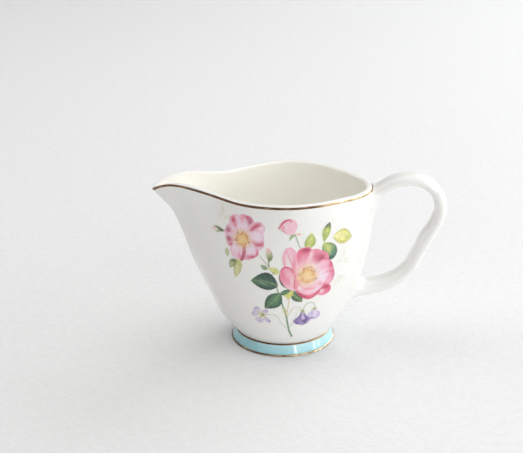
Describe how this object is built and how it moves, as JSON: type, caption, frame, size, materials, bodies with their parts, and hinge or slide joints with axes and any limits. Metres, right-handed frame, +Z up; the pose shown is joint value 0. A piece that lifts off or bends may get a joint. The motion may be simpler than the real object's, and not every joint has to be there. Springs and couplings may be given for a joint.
{
  "type": "cream jug",
  "caption": "Footed porcelain cream jug with a pinched pouring lip, a looped strap handle, gilded edges, an enamel foot band and printed sprays.",
  "frame": {"origin": "on the table under the middle of the whole jug: halfway between spout tip and handle, on its plane of symmetry, at the level of the foot's underside", "axes": "+X from the spout towards the handle, +Z up out of the open top, +Y across the jug, away from the side shown in the picture"},
  "size_m": [0.1457, 0.0678, 0.0876],
  "materials": {
    "body_glaze": "clear gloss glaze on warm white china",
    "handle_glaze": "clear gloss glaze on warm white china",
    "foot_glaze": "clear gloss glaze, wiped off the ring that it stands on",
    "band_enamel": "glossy turquoise enamel",
    "foot_top_gold": "bright fired gilding",
    "foot_base_gold": "bright fired gilding",
    "rim_gold": "bright fired gilding",
    "front_print_ink": "printed ceramic colours fused into the glaze",
    "back_print_ink": "printed ceramic colours fused into the glaze"
  },
  "bodies": {
    "root": {"jug_body": "body_glaze", "handle": "handle_glaze", "foot_ring": "foot_glaze", "foot_band": "band_enamel", "foot_top_gilding": "foot_top_gold", "foot_base_gilding": "foot_base_gold", "rim_gilding": "rim_gold", "front_print": "front_print_ink", "back_print": "back_print_ink"}
  },
  "joints": []
}
